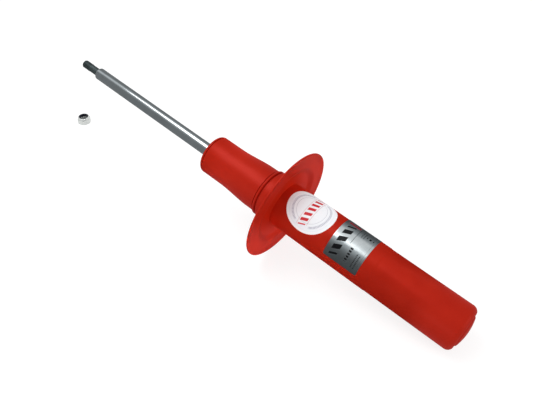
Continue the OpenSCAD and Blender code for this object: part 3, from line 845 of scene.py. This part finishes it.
def hex_nut():
    """Lock nut: chamfered hexagon, crimped collar, threaded hole and a pocket for its insert."""
    # Half the size across flats, the hexagon's height, the collar's height and its lip
    flat, height, top, lip = 8.5, 7.6, 10.2, 6.85
    crest, root, mouth_r = 4.27, 4.95, 5.3
    segments, thread_rows = 360, 60
    slope = math.tan(math.radians(30))

    def section(angle):
        """Section of the nut at that angle, from its foot outside to its foot inside."""
        face = (math.degrees(angle) + 30) % 60 - 30
        side = flat / math.cos(math.radians(face))
        cut = (side - flat) * slope
        side -= 0.05 * max(0, abs(face) - 27)
        near, far = flat - 0.15, side - 0.05
        foot = [
            (flat - 0.55, 0.0), (near, 0.02), ((near + far) / 2, cut / 2 + 0.04), (far, cut + 0.06),
            (side, cut + 0.2), (side, height / 2),
        ]
        head = [
            (side, height - cut - 0.2), (far, height - cut - 0.06),
            ((near + far) / 2, height - cut / 2 - 0.04), (near, height - 0.02),
        ]
        crimp = [
            (8.12, height + 0.02), (8.0, height + 0.30), (7.98, height + 0.75), (7.90, height + 1.25),
            (7.74, height + 1.85), (7.55, top - 0.30), (7.32, top - 0.07), (7.10, top),
            (lip + 0.12, top - 0.02), (lip, top - 0.08),
        ]
        pocket = [(lip, POCKET_TOP), (POCKET_R, POCKET_TOP), (POCKET_R, POCKET_LOW)]
        thread = []
        for i in range(thread_rows + 1):
            z = POCKET_LOW - 0.05 - (POCKET_LOW - 0.10) * i / thread_rows
            turn = (z / PITCH - angle / (2 * math.pi)) % 1.0
            tooth = min(1.0, max(0.0, (abs(turn - 0.5) * 2 - 0.12) / 0.72))
            mouth = min(1.0, max(0.0, (0.95 - z) / 0.9))
            radius = crest + (root - crest) * tooth
            thread.append((radius + (mouth_r - radius) * mouth, z))
        return foot + head + crimp + pocket + thread + [(mouth_r + 0.15, 0.0)]

    sections = [section(2 * math.pi * k / segments) for k in range(segments)]
    count = len(sections[0])
    verts = []
    for k, points in enumerate(sections):
        a = 2 * math.pi * k / segments
        verts += [(r * math.cos(a), r * math.sin(a), z) for r, z in points]
    faces = []
    for k in range(segments):
        j = (k + 1) % segments
        for i in range(count):
            m = (i + 1) % count
            faces.append([k * count + i, j * count + i, j * count + m, k * count + m])
    obj = piece("hex_nut", verts, faces, nut_place(), ["bright_zinc"], 32)
    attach(obj, "root")
    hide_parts("lock_nut")


def nut_ring():
    """Nylon insert held in the nut's collar."""
    hole, edge = 4.5, POCKET_R - 0.03
    low, high = POCKET_LOW + FIT, POCKET_TOP - FIT
    section = rounded([
        (hole, low, 0.25), (edge, low, 0.2), (edge, high, 0.1),
        (6.2, high + 0.01, 0), (5.5, high, 0), (hole, high - 0.08, 0.35),
    ], 5)
    verts, faces, _ = spin(section, 128)
    obj = piece("nut_ring", verts, faces, nut_place(), ["dark_nylon"])
    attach(obj, "root")
    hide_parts("nut_insert")


def wrapped(name, outline, rows, level, turn, material, node):
    """A thin label wrapped on the tube. Its outline gives the places (along, round) of its edge
    in mm from its middle, which lies at that level and angle. That many rows of faces lead out
    to the edge."""
    count, inner = len(outline), ON_TUBE + 0.005
    verts, uvs, rings = [], [], []

    def add(u, v, radius):
        a = turn + v / LABEL_OUT
        verts.append((radius * math.cos(a), radius * math.sin(a), level - u))
        uvs.append((u, v))
        return len(verts) - 1

    def ring(share, radius):
        rings.append([add(u * share, v * share, radius) for u, v in outline])

    top = add(0, 0, LABEL_OUT)
    for i in range(1, rows):
        ring(i / rows, LABEL_OUT)
    # The printed face ends a little before the edge, which is rounded down
    ring(0.997, LABEL_OUT)
    ring(1, LABEL_OUT - 0.06)
    ring(1, inner)
    for i in range(rows - 1, 0, -1):
        ring(i / rows, inner)
    bottom = add(0, 0, inner)
    faces = []
    for k in range(count):
        j = (k + 1) % count
        faces.append([top, rings[0][k], rings[0][j]])
        for low, high in zip(rings, rings[1:]):
            faces.append([low[k], high[k], high[j], low[j]])
        faces.append([bottom, rings[-1][j], rings[-1][k]])
    obj = piece(name, verts, faces, LAY, [material], 50, uvs=uvs)
    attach(obj, "root")
    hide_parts(node)


def disc_label():
    """Round label beside the seat."""
    level, turn, radius, _ = middle_of("round_label")
    angles = np.linspace(0, 2 * math.pi, 181)[:-1]
    circle = [(radius * math.cos(t), radius * math.sin(t)) for t in angles]
    wrapped("disc_label", circle, 26, level, turn, "white_label", "round_label")


def plate_label():
    """Rectangular label on the lower tube, with rounded corners."""
    level, turn, half_u, half_v = middle_of("rating_label")
    corner, step = 1.3, 1.5
    sheet = []
    for side_u, side_v, start in ((1, 1, 0), (-1, 1, 90), (-1, -1, 180), (1, -1, 270)):
        u, v = side_u * (half_u - corner), side_v * (half_v - corner)
        angles = np.radians(np.linspace(start, start + 90, 7))
        sheet += [(u + corner * math.cos(t), v + corner * math.sin(t)) for t in angles]
    edge = []
    for first, last in zip(sheet, sheet[1:] + sheet[:1]):
        shares = np.linspace(0, 1, max(1, round(math.dist(first, last) / step)), endpoint=False)
        du, dv = last[0] - first[0], last[1] - first[1]
        edge += [(first[0] + du * t, first[1] + dv * t) for t in shares]
    wrapped("plate_label", edge, 24, level, turn, "silver_label", "rating_label")


def plate_spring(name, node, body, joint):
    """Wave spring over an intake plate, copied from its CAD node onto the body it moves with."""
    mesh = NODES[node].data.copy()
    mesh.materials.clear()
    mesh.materials.append(MATERIALS["spring_steel"])
    obj = bpy.data.objects.new(name, mesh)
    obj.matrix_world = NODES[node].matrix_world
    bpy.context.scene.collection.objects.link(obj)
    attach(obj, body)
    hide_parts(node)
    _, low, high = reach(node)
    lift = JOINTS[joint]["range_m"][1] / MM
    1 - lift / (high - low)
    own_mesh(obj)


body_tube()
base_plate()
seat_dish()
seat_ring()
seat_weld()
rod_and_stud()
hex_nut()
nut_ring()
disc_label()
plate_label()
plate_spring("intake_wave", "intake_spring", "rod", "piston_intake_lift")
plate_spring("foot_intake_wave", "foot_intake_spring", "root", "foot_intake_lift")

# CAD nodes that stay get the finish of their slot
for name, obj in NODES.items():
    if not obj.hide_render:
        obj.data.materials.clear()
        obj.data.materials.append(MATERIALS[SLOTS[name]])


# ---------------------------------------------------------------- floor, cards, lights

def staged(name, verts, faces, material):
    """A mesh that belongs to the studio and not to the object."""
    mesh = bpy.data.meshes.new(name)
    mesh.from_pydata(verts, [], faces)
    mesh.materials.append(material)
    obj = bpy.data.objects.new(name, mesh)
    bpy.context.scene.collection.objects.link(obj)
    return obj


def floor_material():
    """Pale floor that looks white and keeps the object's shadow."""
    n = material("floor")
    speckle = n.noise(0.02, detail=2)
    matt = n.add("ShaderNodeBsdfDiffuse")
    n.feed(matt.inputs["Color"], n.ramp(speckle, (0.3, (0.70, 0.70, 0.70)), (0.7, (0.72, 0.72, 0.72))))
    pale = n.add("ShaderNodeBsdfDiffuse")
    n.feed(pale.inputs["Color"], (0.27, 0.27, 0.27))
    shown = n.add("ShaderNodeAddShader")
    n.feed(shown.inputs[0], pale.outputs[0])
    n.feed(shown.inputs[1], n.glow("ShaderNodeEmission", (1, 1, 1), 0.82).outputs[0])
    return n.surface(n.mix(n.seen(), matt, shown))


def card_material():
    """Glowing card whose stored brightness is a painted reflection; it fades out where its cover ends."""
    n = material("card")
    painted_reflection = n.add("ShaderNodeAttribute", attribute_name="painted_reflection").outputs["Fac"]
    cover = n.add("ShaderNodeAttribute", attribute_name="cover").outputs["Fac"]
    glow = n.glow("ShaderNodeEmission", (0.95, 1.0, 1.03), painted_reflection)
    return n.surface(n.mix(cover, n.add("ShaderNodeBsdfTransparent"), glow))


def studio_world():
    """White surroundings that light the object less brightly than they look."""
    n = Nodes(bpy.data.worlds.new("studio"))
    lighting = n.glow("ShaderNodeBackground", (1, 1, 1), 0.62)
    shown = n.glow("ShaderNodeBackground", (1, 1, 1), 1.0)
    return n.surface(n.mix(n.seen(), lighting, shown))


def tent(name, dim, rows):
    """Card bent round the strut's axis and seen in reflections only, glowing with no light on it: a
    painted reflection in the rod, tube and foil. Each row holds a level, a radius, the angles between
    which the card spans there, how bright it is beside its open slot, and its cover. Away from the
    slot it is as bright as dim says, which paints dark bands; beside the slot it paints soft highlights."""
    middle = LAY @ Vector((0, 0, (rows[0][0] + rows[-1][0]) / 2))
    view = (camera.matrix_world.translation - middle).normalized()
    face = (view - AXIS * view.dot(AXIS)).normalized()
    over = AXIS.cross(face)
    verts, painted_reflections, covers = [], [], []
    # Columns of points, and the angle beside the slot over which the painted glow falls to dim
    columns, glow_angle = 120, 20
    for level, radius, first, last, bright, cover in rows:
        middle = LAY @ Vector((0, 0, level))
        for angle in np.linspace(first, last, columns):
            t = math.radians(angle)
            verts.append(middle + (face * math.cos(t) + over * math.sin(t)) * radius)
            off_slot = min(angle - first, last - angle) / glow_angle
            # Painted reflection: brightest beside the slot, dimming away from it
            painted_reflections.append(dim + (bright - dim) * math.exp(-off_slot ** 2))
            covers.append(cover)
    corner = [i * columns + k for i in range(len(rows) - 1) for k in range(columns - 1)]
    faces = [(c, c + 1, c + columns + 1, c + columns) for c in corner]
    obj = staged(name, verts, faces, CARD)
    obj.data.attributes.new("painted_reflection", "FLOAT", "POINT").data.foreach_set("value", painted_reflections)
    obj.data.attributes.new("cover", "FLOAT", "POINT").data.foreach_set("value", covers)
    for ray in ("camera", "diffuse", "shadow", "transmission", "volume_scatter"):
        setattr(obj, "visible_" + ray, False)


def light(name, size, place, aim, strength, spread=180):
    """Area light of that radiance. Places and sizes are metres, and the spread is degrees."""
    data = bpy.data.lights.new(name, "AREA")
    data.shape = "RECTANGLE"
    data.size, data.size_y = size
    data.energy = strength * size[0] * size[1] * math.pi
    data.spread = math.radians(spread)
    obj = bpy.data.objects.new(name, data)
    turn = (Vector(place) - Vector(aim)).to_track_quat("Z", "Y")
    obj.matrix_world = Matrix.Translation(place) @ turn.to_matrix().to_4x4()
    obj.visible_camera = False
    bpy.context.scene.collection.objects.link(obj)


staged("floor", [(-6, -6, 0), (6, -6, 0), (6, 6, 0), (-6, 6, 0)], [(0, 1, 2, 3)], floor_material())

# Painted reflections: the rod and the tube each mirror the white slot that a glowing card leaves
# # open, and the card's own glow as dark bands with brighter shoulders beside the slot
CARD = card_material()
tent("rod_card", 0.28, [
    (ROD_LOW, 0.075, 66, 375, 0.50, 0),
    (ROD_LOW + 26, 0.075, 64, 378, 0.53, 1),
    (STUD_END, 0.075, 44, 399, 0.85, 1),
    (STUD_END + 140, 0.075, 44, 399, 0.85, 1),
])
tent("tube_card", 0.09, [
    (34, 0.028, 66, 364, 0.50, 0),
    (58, 0.032, 66, 364, 0.50, 1),
    (98, 0.039, 53, 369, 0.45, 1),
    (RIM_Z - 4, 0.039, 51, 370, 0.45, 1),
])

light("top_strip", (0.86, 0.60), (-0.30, -0.21, 1.1), aim=(-0.16, -0.08, 0), strength=3.7)
light("front_fill", (1.4, 0.5), (0.1, -1.3, 0.25), aim=(0.05, 0, 0.04), strength=0.7)
light("end_fill", (1.1, 0.9), (1.45, 0.22, 0.42), aim=(0.08, 0, 0.08), strength=0.9)
# Two narrow lights on the seat's rim
light("seat_front", (0.12, 0.05), (0.48, -0.30, 0.02), aim=(0.09, -0.058, 0.028), strength=1.4, spread=16)
light("seat_back", (0.12, 0.08), (0.50, 0.36, 0.12), aim=(0.09, 0.048, 0.080), strength=0.9, spread=20)

bpy.context.scene.world = studio_world()
bpy.context.scene.view_settings.view_transform = "Standard"
